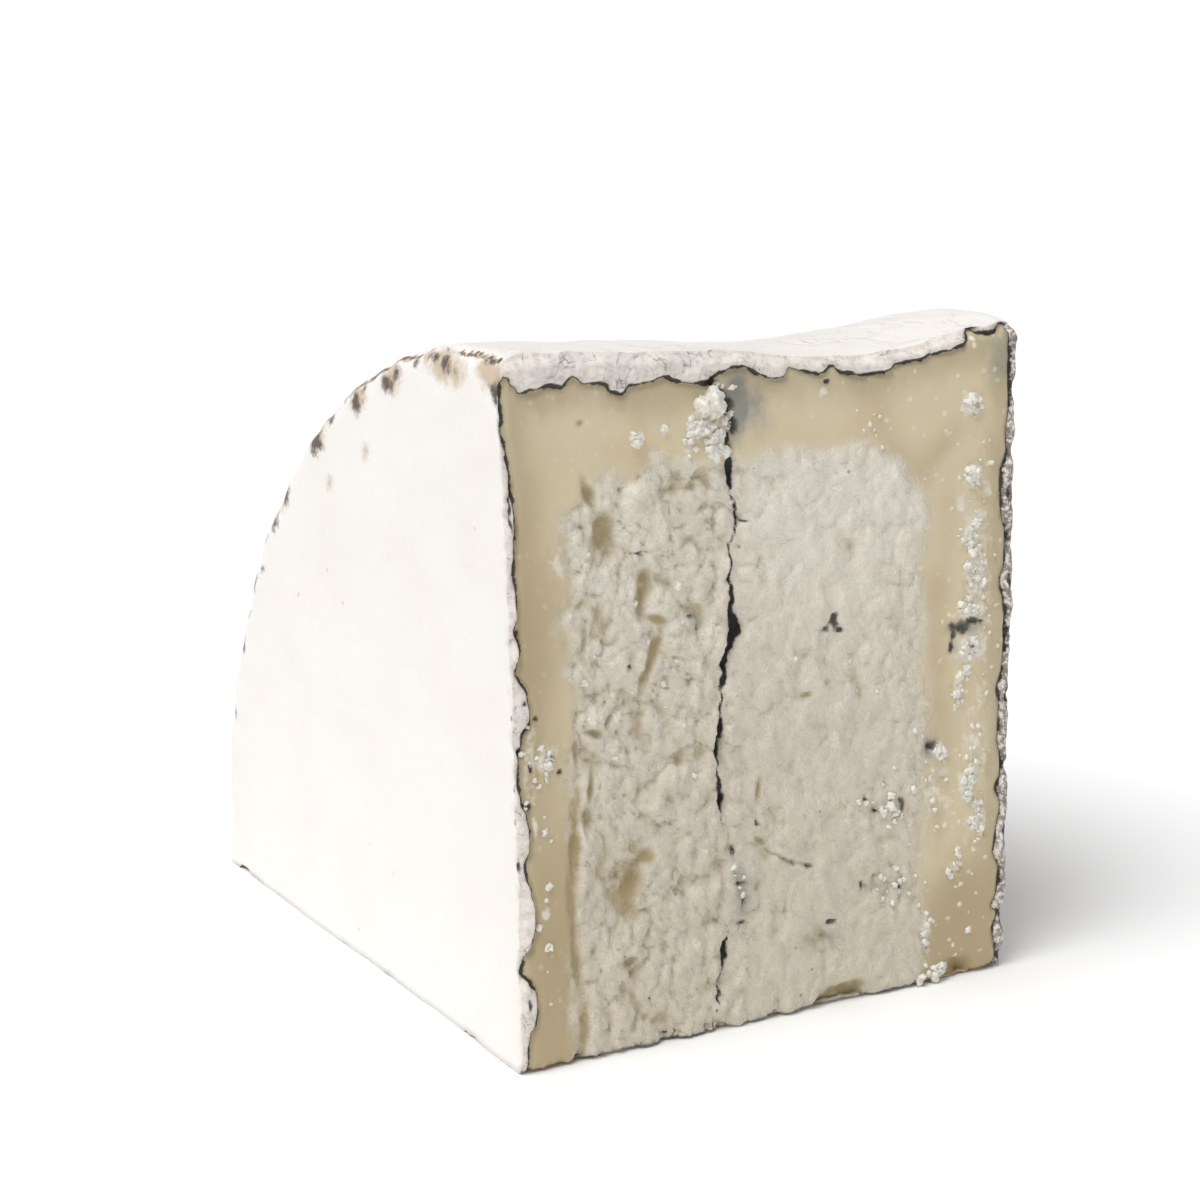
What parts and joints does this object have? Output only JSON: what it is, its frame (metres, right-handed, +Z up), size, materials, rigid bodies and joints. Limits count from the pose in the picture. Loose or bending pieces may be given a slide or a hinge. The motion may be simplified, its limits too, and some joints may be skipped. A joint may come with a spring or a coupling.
{
  "type": "cheese wedge",
  "caption": "Wedge cut from a soft bloomy-rind goat cheese wheel, standing on one cut face, with a white rind, a ripe layer and a crumbly core split by an ash seam.",
  "frame": {"origin": "middle of the base of the part's box: halfway along the wheel's axis and halfway from the apex edge to the rim, on the lower cut face", "axes": "+X along the wheel's axis, from the rind face at the viewer's left to the other rind face; +Y from the apex edge towards the rim along the lower cut face; +Z up"},
  "size_m": [0.079, 0.095, 0.0949],
  "materials": {
    "cheese": "matte, slightly waxy on the cut faces and velvety on the rind"
  },
  "bodies": {
    "root": {"cheese_wedge": "cheese"}
  },
  "joints": []
}
